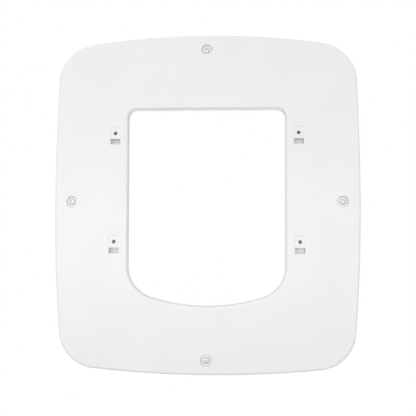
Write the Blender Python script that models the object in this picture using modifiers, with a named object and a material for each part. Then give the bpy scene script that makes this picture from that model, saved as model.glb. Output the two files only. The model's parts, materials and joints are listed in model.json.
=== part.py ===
"""Clamp-on mounting adaptor frame.

Two moulded frames clamp a panel between them. Four screws pass through the front frame and turn in captive
nuts in the rear frame. The unit that the adaptor carries passes through the window and is screwed to four
captive square nuts behind the fixing pads.

Metres, +Z up. The front faces -Y. The origin is midway between the four clamp screws, on the plane where the
front frame's rim meets the panel.
"""
import math

import bmesh
import bpy
from mathutils import Matrix

NAME = "mounting_adaptor_frame"
GAP = 0.0003            # left between pieces that touch

# Outline of the frame, seen from the front
HALF_WIDTH = 0.1368
WIDEST_Z = 0.0210       # where the sides are widest
TOP_Z = 0.1529
BOTTOM_Z = -0.1516
TOP_BOW = 0.706         # radius of the top edge
BOTTOM_BOW = 0.974      # radius of the bottom edge
UPPER_SIDE_BOW = 3.313  # radius of each side above its widest point
LOWER_SIDE_BOW = 1.476  # radius of each side below its widest point
TOP_CORNER = 0.0370
BOTTOM_CORNER = 0.0350

# Window: flat top, bowed bottom, sides that lean out a little towards the top
WINDOW_HALF_WIDTH = 0.0705
WINDOW_LEAN = 0.0075
WINDOW_TOP = 0.0841
WINDOW_BOTTOM = -0.0923
WINDOW_TOP_CORNER = 0.0076
WINDOW_BOTTOM_CORNER = 0.0290
WINDOW_BOTTOM_BOW = 0.166

# Points on each stretch of half a loop: bottom, lower corner, lower side, upper side, upper corner, top
STEPS = (7, 8, 4, 4, 8, 7)
SETTLE_ROUNDS = 40      # enough to place the window's lower corners

# Front frame, from the face at the front to the rim on the panel
FRONT_DEPTH = 0.0080
FACE_THICKNESS = 0.0025
RIM_THICKNESS = 0.0024
RIM_ROUND = 0.0022
RIM_DRAFT = 0.00015
COLLAR_THICKNESS = 0.0020
COLLAR_END = -0.0010
LIP_ROUND = 0.0025
ROUND_STEPS = 4
SEAL_RIB = (0.0061, 0.0076)     # its outer and inner face, in from the outline
FRONT_RIB_END = -0.0012

# Clamp screws: M3 x 30 pan head with a cross recess, one at the middle of each side
SIDE_SCREW_X = 0.1210
END_SCREW_Z = 0.1390
SCREW_PLACES = {
    "top": (0.0, END_SCREW_Z),
    "bottom": (0.0, -END_SCREW_Z),
    "left": (-SIDE_SCREW_X, 0.0),
    "right": (SIDE_SCREW_X, 0.0),
}
HEAD_RADIUS = 0.0028
HEAD_HEIGHT = 0.0018
HEAD_SEAT_Y = -0.0062
SHANK_RADIUS = 0.00145
SHANK_LENGTH = 0.0300
SHANK_TIP = 0.0005
RECESS_WIDTH = 0.0030
RECESS_SLOT = 0.0007
RECESS_STEP = 0.0001            # between the floors of its two slots
RECESS_DEPTH = 0.0011
HEAD_SQUARENESS = 3.2
SCREW_STEPS = 20

WASHER_RADIUS = 0.0045
WASHER_THICKNESS = 0.0008
COUNTERBORE_RADIUS = 0.0048
SCREW_HOLE_RADIUS = SHANK_RADIUS + GAP
BOSS_RADIUS = 0.0060
BOSS_END = -0.0003

# Fixing pads: a shallow recess with a hole, over a pocket that lets the square nut in
FIXING_X = 0.08255
FIXING_PLACES = {
    "upper_left": (-FIXING_X, 0.0622),
    "upper_right": (FIXING_X, 0.0622),
    "lower_left": (-FIXING_X, -0.0357),
    "lower_right": (FIXING_X, -0.0357),
}
FIXING_HOLE_RADIUS = 0.0016
FIXING_HOLE_END = -0.0016
PAD_WIDTH = 0.0089
PAD_ABOVE = 0.0058
PAD_DEPTH = 0.0006
POCKET_HEIGHT = 0.0051
POCKET_DROP = 0.00775           # from the hole to the middle of the pocket
POCKET_END = -0.0018
SQUARE_NUT = 0.0055
SQUARE_NUT_THICKNESS = 0.0018
SQUARE_NUT_Y = -0.0045          # its middle
NUT_BORE_RADIUS = 0.0013
NUT_BLOCK_HALF_WIDTH = 0.0068
NUT_BLOCK_ABOVE = 0.0075
NUT_BLOCK_BELOW = POCKET_DROP + PAD_ABOVE
NUT_BLOCK_END = -0.0006

# Foam seals
FRONT_SEAL = (0.0028, 0.0058)   # outer and inner face, in from the outline
FRONT_SEAL_END = 0.0005
REAR_SEAL = (0.0032, 0.0082)
REAR_SEAL_THICKNESS = 0.0022

# Rear frame, from the flange on the panel to the back
REAR_INSET = 0.0020
FLANGE_THICKNESS = 0.0024
REAR_DEPTH = 0.0090
REAR_WALL = 0.0022
REAR_ROUND = 0.0010
REAR_WINDOW_OUTSET = 0.0050
WALL_DRAFT = 0.0002
TOWER_RADIUS = 0.0048
TOWER_HEIGHT = 0.0147
TOWER_RIB_HEIGHT = 0.0120
TOWER_RIB_REACH = 0.0078
HEX_NUT_ACROSS_FLATS = 0.0055
HEX_NUT_THICKNESS = 0.0024
NUT_SEAT = 0.0050               # from the panel side of the flange to the floor of the nut socket

RIB_THICKNESS = 0.0016
RIB_COUNT = 16
SINK = 0.0004                   # how far a rib or boss runs into the wall it grows from
RIB_STEP = 0.0010               # how far the rear ribs stop below the walls
ROD_TWIST = 0.05                # keeps a round piece's corners off the planes of symmetry
OVERSHOOT = 0.0010              # how far a cutter runs past the surface that it opens
BORE_SEGMENTS = 16
BOSS_SEGMENTS = 24
COUNTERBORE_SEGMENTS = 28
HEX_SEGMENTS = 6
REAR_ROUND_STEPS = 2
HEAD_STEPS = 6
SHARP_ANGLE = math.radians(30)  # an edge that turns more than this isn't shaded smooth

FACE_Y = -FRONT_DEPTH
UNDERSIDE_Y = FACE_Y + FACE_THICKNESS
REAR_SEAL_Y = FRONT_SEAL_END + GAP
FLANGE_Y = REAR_SEAL_Y + REAR_SEAL_THICKNESS + GAP
WEB_Y = FLANGE_Y + FLANGE_THICKNESS
REAR_Y = FLANGE_Y + REAR_DEPTH
TOWER_Y = FLANGE_Y + TOWER_HEIGHT
NUT_SEAT_Y = FLANGE_Y + NUT_SEAT


# ---------------------------------------------------------------- scene

def clear_scene():
    for item in list(bpy.data.objects):
        bpy.data.objects.remove(item, do_unlink=True)


def new_collection(name):
    collection = bpy.data.collections.new(name)
    bpy.context.scene.collection.children.link(collection)
    return collection


def new_material(name, colour, roughness, metallic=0.0):
    material = bpy.data.materials.new(name)
    material.use_nodes = True
    shader = material.node_tree.nodes["Principled BSDF"]
    shader.inputs["Base Color"].default_value = (*colour, 1.0)
    shader.inputs["Roughness"].default_value = roughness
    shader.inputs["Metallic"].default_value = metallic
    return material


def new_object(name, bm, collection, material=None):
    mesh = bpy.data.meshes.new(name)
    bmesh.ops.recalc_face_normals(bm, faces=bm.faces)
    bm.to_mesh(mesh)
    bm.free()
    item = bpy.data.objects.new(name, mesh)
    collection.objects.link(item)
    if material:
        mesh.materials.append(material)
    return item


def smooth(item):
    item.data.shade_smooth()
    item.data.set_sharp_from_angle(angle=SHARP_ANGLE)


def new_cutter(name, bm, collection=None):
    item = new_object(name, bm, collection or cutters)
    item.hide_render = True
    item.display_type = "WIRE"
    return item


def combine(item, tool, operation, own_overlaps=False):
    modifier = item.modifiers.new(tool.name, "BOOLEAN")
    modifier.operation = operation
    modifier.solver = "EXACT"
    modifier.use_self = own_overlaps
    modifier.object = tool


def combine_all(item, label, solids, operation):
    """Join or cut several solids, given as name: bmesh, in one step."""
    group = bpy.data.collections.new(item.name + "_" + label)
    cutters.children.link(group)
    for name, bm in solids.items():
        new_cutter(item.name + "_" + name, bm, group)
    modifier = item.modifiers.new(label, "BOOLEAN")
    modifier.operation = operation
    modifier.solver = "EXACT"
    modifier.operand_type = "COLLECTION"
    modifier.collection = group


# ---------------------------------------------------------------- outlines

def meeting_point(first, first_reach, second, second_reach):
    """The point at given distances from two centres, on the left of the line from the first to the second."""
    dx, dz = second[0] - first[0], second[1] - first[1]
    span = math.hypot(dx, dz)
    along = (first_reach**2 - second_reach**2 + span**2) / (2 * span)
    off = math.sqrt(first_reach**2 - along**2)
    return (first[0] + (along * dx - off * dz) / span, first[1] + (along * dz + off * dx) / span)


def bearing(start, end):
    return math.atan2(end[1] - start[1], end[0] - start[0])


def arc(centre, radius, start, end, steps):
    """Points along an arc, without its last one."""
    turns = [start + (end - start) * i / steps for i in range(steps)]
    return [(centre[0] + radius * math.cos(t), centre[1] + radius * math.sin(t)) for t in turns]


def line(start, end, steps):
    """Points along a line, without its last one."""
    shares = [i / steps for i in range(steps)]
    return [(start[0] + (end[0] - start[0]) * s, start[1] + (end[1] - start[1]) * s) for s in shares]


def whole_loop(half):
    """The right half of a loop, bottom to top, with its mirror image."""
    return half + [(-x, z) for x, z in reversed(half[1:-1])]


def frame_outline(inset):
    """The outline moved in by a distance: four bowed edges joined by round corners."""
    top = (0.0, TOP_Z - TOP_BOW)
    bottom = (0.0, BOTTOM_Z + BOTTOM_BOW)
    upper = (HALF_WIDTH - UPPER_SIDE_BOW, WIDEST_Z)
    lower = (HALF_WIDTH - LOWER_SIDE_BOW, WIDEST_Z)
    high = meeting_point(upper, UPPER_SIDE_BOW - TOP_CORNER, top, TOP_BOW - TOP_CORNER)
    low = meeting_point(bottom, BOTTOM_BOW - BOTTOM_CORNER, lower, LOWER_SIDE_BOW - BOTTOM_CORNER)
    half = arc(bottom, BOTTOM_BOW - inset, -math.pi / 2, bearing(bottom, low), STEPS[0])
    half += arc(low, BOTTOM_CORNER - inset, bearing(bottom, low), bearing(lower, low), STEPS[1])
    half += arc(lower, LOWER_SIDE_BOW - inset, bearing(lower, low), 0.0, STEPS[2])
    half += arc(upper, UPPER_SIDE_BOW - inset, 0.0, bearing(upper, high), STEPS[3])
    half += arc(high, TOP_CORNER - inset, bearing(upper, high), bearing(top, high), STEPS[4])
    half += arc(top, TOP_BOW - inset, bearing(top, high), math.pi / 2, STEPS[5])
    return whole_loop(half + [(0.0, TOP_Z - inset)])


def window_outline(outset):
    """The window moved out by a distance."""
    slant = math.atan(-WINDOW_LEAN)
    reach = WINDOW_HALF_WIDTH * math.cos(slant)

    def on_side(z, inside):
        return ((reach - inside - z * math.sin(slant)) / math.cos(slant), z)

    high = on_side(WINDOW_TOP - WINDOW_TOP_CORNER, WINDOW_TOP_CORNER)
    bow = (0.0, WINDOW_BOTTOM + WINDOW_BOTTOM_BOW)
    low = on_side(WINDOW_BOTTOM + WINDOW_BOTTOM_CORNER, WINDOW_BOTTOM_CORNER)
    for _ in range(SETTLE_ROUNDS):
        drop = math.sqrt((WINDOW_BOTTOM_BOW - WINDOW_BOTTOM_CORNER) ** 2 - low[0] ** 2)
        low = on_side(bow[1] - drop, WINDOW_BOTTOM_CORNER)
    low_radius = WINDOW_BOTTOM_CORNER + outset
    high_radius = WINDOW_TOP_CORNER + outset
    low_end = (low[0] + low_radius * math.cos(slant), low[1] + low_radius * math.sin(slant))
    high_end = (high[0] + high_radius * math.cos(slant), high[1] + high_radius * math.sin(slant))
    middle = ((low_end[0] + high_end[0]) / 2, (low_end[1] + high_end[1]) / 2)
    half = arc(bow, WINDOW_BOTTOM_BOW + outset, -math.pi / 2, bearing(bow, low), STEPS[0])
    half += arc(low, low_radius, bearing(bow, low), slant, STEPS[1])
    half += line(low_end, middle, STEPS[2])
    half += line(middle, high_end, STEPS[3])
    half += arc(high, high_radius, slant, math.pi / 2, STEPS[4])
    half += line((high[0], WINDOW_TOP + outset), (0.0, WINDOW_TOP + outset), STEPS[5])
    return whole_loop(half + [(0.0, WINDOW_TOP + outset)])


def edge_distance(loop, angle):
    """How far a loop lies from the origin, in one direction."""
    dx, dz = math.cos(angle), math.sin(angle)
    for (x0, z0), (x1, z1) in zip(loop, loop[1:] + loop[:1]):
        side0, side1 = dx * z0 - dz * x0, dx * z1 - dz * x1
        if side0 * side1 > 0 or side0 == side1:
            continue
        share = side0 / (side0 - side1)
        distance = dx * (x0 + (x1 - x0) * share) + dz * (z0 + (z1 - z0) * share)
        if distance > 0:
            return distance
    raise ValueError("the loop doesn't go round the origin")


# ---------------------------------------------------------------- solids

def ring_body(rings):
    """A closed frame through loops of equal length, each a (loop, y) pair, the last joined to the first."""
    bm = bmesh.new()
    rows = [[bm.verts.new((x, y, z)) for x, z in loop] for loop, y in rings]
    for row, following in zip(rows, rows[1:] + rows[:1]):
        for i in range(len(row)):
            j = (i + 1) % len(row)
            bm.faces.new((row[i], row[j], following[j], following[i]))
    return bm


def rounding(radius, steps):
    """Pairs (in from the side, back from the face) along a quarter round, from the side to the face."""
    turns = [math.pi / 2 * i / steps for i in range(steps + 1)]
    return [(radius * (1 - math.cos(t)), radius * (1 - math.sin(t))) for t in turns]


def add_box(bm, low, high):
    size = [b - a for a, b in zip(low, high)]
    centre = [(a + b) / 2 for a, b in zip(low, high)]
    place = Matrix.Translation(centre) @ Matrix.Diagonal((*size, 1.0))
    bmesh.ops.create_cube(bm, size=1.0, matrix=place)


def add_rod(bm, place, radius, start, end, segments, twist=ROD_TWIST):
    """A cylinder along Y between two depths."""
    x, z = place
    matrix = Matrix.Translation((x, (start + end) / 2, z)) @ Matrix.Rotation(math.pi / 2, 4, "X")
    matrix = matrix @ Matrix.Rotation(twist, 4, "Z")
    bmesh.ops.create_cone(bm, cap_ends=True, segments=segments, radius1=radius, radius2=radius,
                          depth=abs(end - start), matrix=matrix)


def add_rib(bm, angle, inner, outer, front, back):
    """A rib pointing away from the Y axis, between two distances from it."""
    size = (outer - inner, back - front, RIB_THICKNESS)
    matrix = Matrix.Rotation(-angle, 4, "Y")
    matrix = matrix @ Matrix.Translation(((inner + outer) / 2, (front + back) / 2, 0.0))
    bmesh.ops.create_cube(bm, size=1.0, matrix=matrix @ Matrix.Diagonal((*size, 1.0)))


def radial_ribs(inner_loop, outer_loop, front, back):
    bm = bmesh.new()
    for i in range(RIB_COUNT):
        angle = 2 * math.pi * i / RIB_COUNT
        add_rib(bm, angle, edge_distance(inner_loop, angle), edge_distance(outer_loop, angle), front, back)
    return bm


def rods(places, radius, start, end, segments, twist=ROD_TWIST):
    bm = bmesh.new()
    for place in places.values():
        add_rod(bm, place, radius, start, end, segments, twist)
    return bm


def boxes_at(places, left, right, below, above, start, end):
    """One box at each place, sized from the place."""
    bm = bmesh.new()
    for x, z in places.values():
        add_box(bm, (x - left, start, z - below), (x + right, end, z + above))
    return bm


def turned(name, profile, place, material, steps=SCREW_STEPS):
    """A turned piece. The profile is (radius, height) pairs, top to bottom, with height towards the front."""
    bm = bmesh.new()
    points = [bm.verts.new((radius, 0.0, height)) for radius, height in profile]
    for start, end in zip(points, points[1:]):
        bm.edges.new((start, end))
    item = new_object(name, bm, parts, material)
    item.location = (place[0], 0.0, place[1])
    item.rotation_euler = (math.pi / 2, 0.0, 0.0)
    modifier = item.modifiers.new("turn", "SCREW")
    modifier.axis = "Z"
    modifier.steps = steps
    modifier.render_steps = steps
    modifier.use_merge_vertices = True
    modifier.merge_threshold = 0.00001
    return item


# ---------------------------------------------------------------- pieces

def make_front_frame(material):
    rings = [(frame_outline(0.0), 0.0)]
    for inward, back in rounding(RIM_ROUND, ROUND_STEPS):
        rings.append((frame_outline(RIM_DRAFT + inward), FACE_Y + back))
    for outward, back in reversed(rounding(LIP_ROUND, ROUND_STEPS)):
        rings.append((window_outline(outward), FACE_Y + back))
    rings.append((window_outline(0.0), COLLAR_END))
    rings.append((window_outline(COLLAR_THICKNESS), COLLAR_END))
    rings.append((window_outline(COLLAR_THICKNESS + WALL_DRAFT), UNDERSIDE_Y))
    rings.append((frame_outline(RIM_THICKNESS + WALL_DRAFT), UNDERSIDE_Y))
    rings.append((frame_outline(RIM_THICKNESS), 0.0))
    frame = new_object("front_frame", ring_body(rings), parts, material)

    additions = {
        "ribs": radial_ribs(window_outline(COLLAR_THICKNESS / 2), frame_outline(sum(SEAL_RIB) / 2),
                            UNDERSIDE_Y - 1.5 * SINK, FRONT_RIB_END),
        "bosses": rods(SCREW_PLACES, BOSS_RADIUS, UNDERSIDE_Y - 2 * SINK, BOSS_END - SINK, BOSS_SEGMENTS),
        "nut_blocks": boxes_at(FIXING_PLACES, NUT_BLOCK_HALF_WIDTH, NUT_BLOCK_HALF_WIDTH,
                               NUT_BLOCK_BELOW, NUT_BLOCK_ABOVE, UNDERSIDE_Y - 3 * SINK, NUT_BLOCK_END),
        "seal_rib": ring_body([
            (frame_outline(SEAL_RIB[0]), BOSS_END),
            (frame_outline(SEAL_RIB[0]), UNDERSIDE_Y - SINK),
            (frame_outline(SEAL_RIB[1]), UNDERSIDE_Y - SINK),
            (frame_outline(SEAL_RIB[1]), BOSS_END),
        ]),
    }
    combine_all(frame, "additions", additions, "UNION")

    half_pad = PAD_WIDTH / 2
    pocket_top = POCKET_DROP - POCKET_HEIGHT / 2
    pocket_low = POCKET_DROP + POCKET_HEIGHT / 2
    slot = SQUARE_NUT / 2 + GAP
    slot_half_depth = SQUARE_NUT_THICKNESS / 2 + GAP
    head_room = HEAD_SEAT_Y + WASHER_THICKNESS + 2 * GAP
    cuts = {
        "counterbores": rods(SCREW_PLACES, COUNTERBORE_RADIUS, FACE_Y - OVERSHOOT, head_room,
                             COUNTERBORE_SEGMENTS),
        "screw_holes": rods(SCREW_PLACES, SCREW_HOLE_RADIUS, FACE_Y, OVERSHOOT, BORE_SEGMENTS),
        "pads": boxes_at(FIXING_PLACES, half_pad, half_pad, pocket_top + OVERSHOOT, PAD_ABOVE,
                         FACE_Y - OVERSHOOT, FACE_Y + PAD_DEPTH),
        "fixing_holes": rods(FIXING_PLACES, FIXING_HOLE_RADIUS, FACE_Y - OVERSHOOT, FIXING_HOLE_END,
                             BORE_SEGMENTS),
        "nut_slots": boxes_at(FIXING_PLACES, slot, slot, pocket_top + OVERSHOOT, slot,
                              SQUARE_NUT_Y - slot_half_depth, SQUARE_NUT_Y + slot_half_depth),
        "pockets": boxes_at(FIXING_PLACES, half_pad, half_pad, pocket_low, -pocket_top,
                            FACE_Y - OVERSHOOT, POCKET_END),
    }
    combine_all(frame, "cuts", cuts, "DIFFERENCE")
    smooth(frame)


def make_rear_frame(material):
    rings = []
    for inward, back in rounding(REAR_ROUND, REAR_ROUND_STEPS):
        rings.append((frame_outline(REAR_INSET + inward), FLANGE_Y + back))
    for outward, back in reversed(rounding(REAR_ROUND, REAR_ROUND_STEPS)):
        rings.append((window_outline(REAR_WINDOW_OUTSET + outward), FLANGE_Y + back))
    window_wall = REAR_WINDOW_OUTSET + REAR_WALL
    outer_wall = REAR_INSET + REAR_WALL
    rings.append((window_outline(REAR_WINDOW_OUTSET), REAR_Y))
    rings.append((window_outline(window_wall), REAR_Y))
    rings.append((window_outline(window_wall + WALL_DRAFT), WEB_Y))
    rings.append((frame_outline(outer_wall + WALL_DRAFT), WEB_Y))
    rings.append((frame_outline(outer_wall), REAR_Y))
    rings.append((frame_outline(REAR_INSET), REAR_Y))
    frame = new_object("rear_frame", ring_body(rings), parts, material)

    additions = {
        "ribs": radial_ribs(window_outline(REAR_WINDOW_OUTSET + REAR_WALL / 2),
                            frame_outline(REAR_INSET + REAR_WALL / 2), WEB_Y - SINK, REAR_Y - RIB_STEP),
        "towers": rods(SCREW_PLACES, TOWER_RADIUS, WEB_Y - 2 * SINK, TOWER_Y, BOSS_SEGMENTS),
        "tower_ribs_across": boxes_at(SCREW_PLACES, TOWER_RIB_REACH, TOWER_RIB_REACH, RIB_THICKNESS / 2,
                                      RIB_THICKNESS / 2, WEB_Y - 3 * SINK, FLANGE_Y + TOWER_RIB_HEIGHT),
        "tower_ribs_up": boxes_at(SCREW_PLACES, RIB_THICKNESS / 2, RIB_THICKNESS / 2, TOWER_RIB_REACH,
                                  TOWER_RIB_REACH, WEB_Y - 2.5 * SINK, FLANGE_Y + TOWER_RIB_HEIGHT + SINK),
    }
    combine_all(frame, "additions", additions, "UNION")
    corner_radius = (HEX_NUT_ACROSS_FLATS / 2 + GAP) / math.cos(math.pi / 6)
    cuts = {
        "nut_sockets": rods(SCREW_PLACES, corner_radius, NUT_SEAT_Y, TOWER_Y + OVERSHOOT, HEX_SEGMENTS, 0.0),
        "screw_holes": rods(SCREW_PLACES, SCREW_HOLE_RADIUS, FLANGE_Y - OVERSHOOT, TOWER_Y, BORE_SEGMENTS),
    }
    combine_all(frame, "cuts", cuts, "DIFFERENCE")
    smooth(frame)


def make_seal(name, span, front, back, material):
    rings = [
        (frame_outline(span[0]), back),
        (frame_outline(span[0]), front),
        (frame_outline(span[1]), front),
        (frame_outline(span[1]), back),
    ]
    seal = new_object(name, ring_body(rings), parts, material)
    smooth(seal)


def make_screw(side, place, material):
    top = HEAD_HEIGHT - HEAD_SEAT_Y
    profile = []
    for i in range(HEAD_STEPS + 1):
        turn = math.pi / 2 * i / HEAD_STEPS
        radius = HEAD_RADIUS * math.sin(turn) ** (2 / HEAD_SQUARENESS)
        height = HEAD_HEIGHT * math.cos(turn) ** (2 / HEAD_SQUARENESS) if i < HEAD_STEPS else 0.0
        profile.append((radius, height - HEAD_SEAT_Y))
    tail = -HEAD_SEAT_Y - SHANK_LENGTH
    profile.append((SHANK_RADIUS, -HEAD_SEAT_Y))
    profile.append((SHANK_RADIUS, tail + SHANK_TIP))
    profile.append((SHANK_RADIUS - SHANK_TIP, tail))
    profile.append((0.0, tail))
    screw = turned("clamp_screw_" + side, profile, place, material)
    cross = bmesh.new()
    long, short = RECESS_WIDTH / 2, RECESS_SLOT / 2
    floor = top - RECESS_DEPTH
    add_box(cross, (-long, -short, floor), (long, short, top + OVERSHOOT))
    add_box(cross, (-short, -long, floor - RECESS_STEP), (short, long, top + OVERSHOOT + RECESS_STEP))
    recess = new_cutter("recess_" + side, cross)
    recess.parent = screw
    combine(screw, recess, "DIFFERENCE", own_overlaps=True)
    smooth(screw)


def make_washer(side, place, material):
    front = -HEAD_SEAT_Y - GAP
    back = front - WASHER_THICKNESS
    inner = SHANK_RADIUS + GAP
    profile = [(inner, front), (WASHER_RADIUS, front), (WASHER_RADIUS, back), (inner, back), (inner, front)]
    smooth(turned("clamp_washer_" + side, profile, place, material))


def bored(name, place, blank, bore_radius, material):
    """A nut: a blank made round the origin, with a hole along Y."""
    nut = new_object(name, blank, parts, material)
    nut.location = (place[0], 0.0, place[1])
    bore = bmesh.new()
    add_rod(bore, (0.0, 0.0), bore_radius, FACE_Y, REAR_Y, BORE_SEGMENTS)
    tool = new_cutter("bore_" + name, bore)
    tool.parent = nut
    combine(nut, tool, "DIFFERENCE")
    smooth(nut)


def make_clamp_nut(side, place, material):
    front = NUT_SEAT_Y + GAP
    blank = bmesh.new()
    corner_radius = HEX_NUT_ACROSS_FLATS / 2 / math.cos(math.pi / 6)
    add_rod(blank, (0.0, 0.0), corner_radius, front, front + HEX_NUT_THICKNESS, HEX_SEGMENTS, 0.0)
    bored("clamp_nut_" + side, place, blank, SHANK_RADIUS + GAP, material)


def make_fixing_nut(corner, place, material):
    blank = bmesh.new()
    half, thick = SQUARE_NUT / 2, SQUARE_NUT_THICKNESS / 2
    add_box(blank, (-half, SQUARE_NUT_Y - thick, -half), (half, SQUARE_NUT_Y + thick, half))
    bored("fixing_nut_" + corner, place, blank, NUT_BORE_RADIUS, material)


# ---------------------------------------------------------------- assembly

clear_scene()
parts = new_collection(NAME)
cutters = new_collection("cutters")

white_plastic = new_material("white_plastic", (0.84, 0.84, 0.84), 0.45)
nylon = new_material("nylon", (0.90, 0.90, 0.89), 0.40)
foam = new_material("foam", (0.045, 0.046, 0.05), 0.95)
plated_steel = new_material("plated_steel", (0.84, 0.84, 0.84), 0.45, 1.0)
black_steel = new_material("black_steel", (0.05, 0.05, 0.052), 0.50, 1.0)

make_front_frame(white_plastic)
make_rear_frame(white_plastic)
make_seal("front_seal", FRONT_SEAL, UNDERSIDE_Y + GAP, FRONT_SEAL_END, foam)
make_seal("rear_seal", REAR_SEAL, REAR_SEAL_Y, FLANGE_Y - GAP, foam)
for side, place in SCREW_PLACES.items():
    make_screw(side, place, plated_steel)
    make_washer(side, place, nylon)
    make_clamp_nut(side, place, plated_steel)
for corner, place in FIXING_PLACES.items():
    make_fixing_nut(corner, place, black_steel)
cutters.hide_render = True
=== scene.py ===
import json
import math

import bmesh
import bpy
from mathutils import Matrix, Vector, noise
from mathutils.geometry import tessellate_polygon


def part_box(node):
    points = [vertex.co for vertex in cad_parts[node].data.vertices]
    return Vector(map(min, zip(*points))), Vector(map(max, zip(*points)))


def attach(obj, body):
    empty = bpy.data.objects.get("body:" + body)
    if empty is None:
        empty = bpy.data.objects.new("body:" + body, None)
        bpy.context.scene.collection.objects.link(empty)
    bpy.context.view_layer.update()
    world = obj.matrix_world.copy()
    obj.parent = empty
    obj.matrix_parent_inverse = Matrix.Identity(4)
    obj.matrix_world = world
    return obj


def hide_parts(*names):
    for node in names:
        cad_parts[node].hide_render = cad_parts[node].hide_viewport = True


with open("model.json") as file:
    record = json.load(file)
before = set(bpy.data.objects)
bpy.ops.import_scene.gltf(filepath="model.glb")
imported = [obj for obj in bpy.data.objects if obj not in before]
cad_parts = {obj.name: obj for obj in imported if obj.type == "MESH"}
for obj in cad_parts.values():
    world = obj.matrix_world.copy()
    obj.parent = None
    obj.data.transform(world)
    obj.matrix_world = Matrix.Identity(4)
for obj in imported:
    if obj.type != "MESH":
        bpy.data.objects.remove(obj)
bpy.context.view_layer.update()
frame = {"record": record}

# Metres. +X is right and +Z up as seen from the front. +Y goes from the face, through the panel, to the rear
# frame. A place is an (x, z) pair.

# ---------------------------------------------------------------- planes and places, from the frame

SIDES = ("top", "bottom", "left", "right")
CORNERS = ("upper_left", "upper_right", "lower_left", "lower_right")
GAP = 0.0003


def middle(node):
    """The middle of a node as seen from the front."""
    low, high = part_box(node)
    return ((low.x + high.x) / 2, (low.z + high.z) / 2)


front_low, front_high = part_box("front_frame")
rear_low, rear_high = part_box("rear_frame")

FACE_Y = front_low.y
PANEL_Y = 0.0
UNDERSIDE_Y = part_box("front_seal")[0].y - GAP
HALF_WIDTH = front_high.x
TOP_Z = front_high.z
BOTTOM_Z = front_low.z
FLANGE_Y = rear_low.y
TOWER_Y = rear_high.y
SCREW_PLACES = {side: middle("clamp_screw_" + side) for side in SIDES}
FIXING_PLACES = {corner: middle("fixing_nut_" + corner) for corner in CORNERS}

# ---------------------------------------------------------------- sizes

# The outline of both frames: the radii of its bows and corners, and the height at which it is widest.
WIDEST_Z = 0.0210
TOP_BOW = 0.706
BOTTOM_BOW = 0.974
UPPER_SIDE_BOW = 3.313
LOWER_SIDE_BOW = 1.476
TOP_CORNER = 0.0370
BOTTOM_CORNER = 0.0350

# The window. Its sides lean outwards by WINDOW_LEAN for each metre up. Its bottom corners touch the sides and
# the bow, and their place settles in SETTLE_ROUNDS.
WINDOW_HALF_WIDTH = 0.0705
WINDOW_LEAN = 0.0075
WINDOW_TOP = 0.0841
WINDOW_BOTTOM = -0.0923
WINDOW_TOP_CORNER = 0.0076
WINDOW_BOTTOM_CORNER = 0.0290
WINDOW_BOTTOM_BOW = 0.166
SETTLE_ROUNDS = 40

# Segments along the six stretches of half an outline, from its bottom to its top, and round small corners.
STEPS = (22, 26, 16, 16, 26, 22)
BOX_CORNER_STEPS = 6
PAD_CORNER_STEPS = 7

# Roundings, as (radius, steps).
RIM_ROUND = (0.0022, 10)
LIP_ROUND = (0.0025, 10)
REAR_ROUND = (0.0010, 6)
MOUTH_ROUND = (0.0005, 6)
PAD_ROUND = (0.00022, 4)
SMALL_EDGE = (0.0003, 3)
WALL_EDGE = (0.0005, 4)
WALL_ROOT = (0.0006, 4)
BOSS_ROOT = (0.0005, 4)
BLOCK_EDGE = (0.0004, 4)
RIB_EDGE = (0.00035, 4)
FLOOR_ROOT = (0.0001, 3)
POCKET_ROOT = (0.0002, 3)
FOAM_EDGE = (0.0005, 4)
FASTENER_EDGE = (0.00022, 3)
WASHER_BORE_EDGE = (0.00012, 2)

# The front frame's walls. Pairs give the insets of a band's two sides from the outline.
RIM_THICKNESS = 0.0024
RIM_DRAFT = 0.00015
COLLAR_THICKNESS = 0.0020
COLLAR_END = -0.0010
SEAL_RIB = (0.0061, 0.0076)
SEAL_RIB_END = -0.0003
DRAFT = 0.0002

# Counterbores and their bosses. MOUTH_STRETCH draws the rounding of the mouth out into the depth.
SCREW_HOLE = 0.00175
SCREW_HOLE_CHAMFER = 0.0002
COUNTERBORE = 0.0048
COUNTERBORE_FLOOR = -0.0048
COUNTERBORE_SIDES = 56
MOUTH_STRETCH = 2.4
WALL_TAPER = 0.00018
WASHER_DEPTH = 0.0012
BOSS_RADIUS = 0.0060
BOSS_END = -0.0007

# Fixing pads, with their pockets and nut slots, measured from the hole.
HALF_PAD = 0.00445
PAD_ABOVE = 0.0058
PAD_CORNER = 0.00045
PAD_Y = FACE_Y + 0.0006
FIXING_HOLE = 0.0016
FIXING_HOLE_END = -0.0016
FIXING_HOLE_SIDES = 32
POCKET_TOP = -0.0052
POCKET_LOW = -0.0103
POCKET_END = -0.0018
POCKET_TAPER = 0.00006
LIP_SHARES = (0.4, 0.0, -0.4)
SLOT_HALF = 0.00305
SLOT_FRONT = -0.0057
SLOT_BACK = -0.0033

# Blocks behind the fixing pads, and the bays between ribs that they stand in.
BLOCK_HALF = 0.0068
BLOCK_ABOVE = 0.0075
BLOCK_BELOW = 0.01355
BLOCK_CORNER = 0.0012
BLOCK_END = -0.0006
BLOCK_BAYS = (1, 6, 9, 14)

# Ribs. RIB_OVERLAP is how far a rib runs into what it joins.
RIB_COUNT = 16
RIB_THICKNESS = 0.0016
RIB_OVERLAP = 0.0004
RIB_SAMPLES = 400
SHORTEST_RIB = 0.0012
FRONT_RIB_FOOT = UNDERSIDE_Y - 0.0006
FRONT_RIB_END = -0.0012

# The mark of an ejector pin, as (radius, depth) from its edge to its floor.
PIN_MARK = ((0.00250, 0.0), (0.00245, 0.00015), (0.00200, 0.0001575))
PIN_MARK_SIDES = 28

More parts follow.
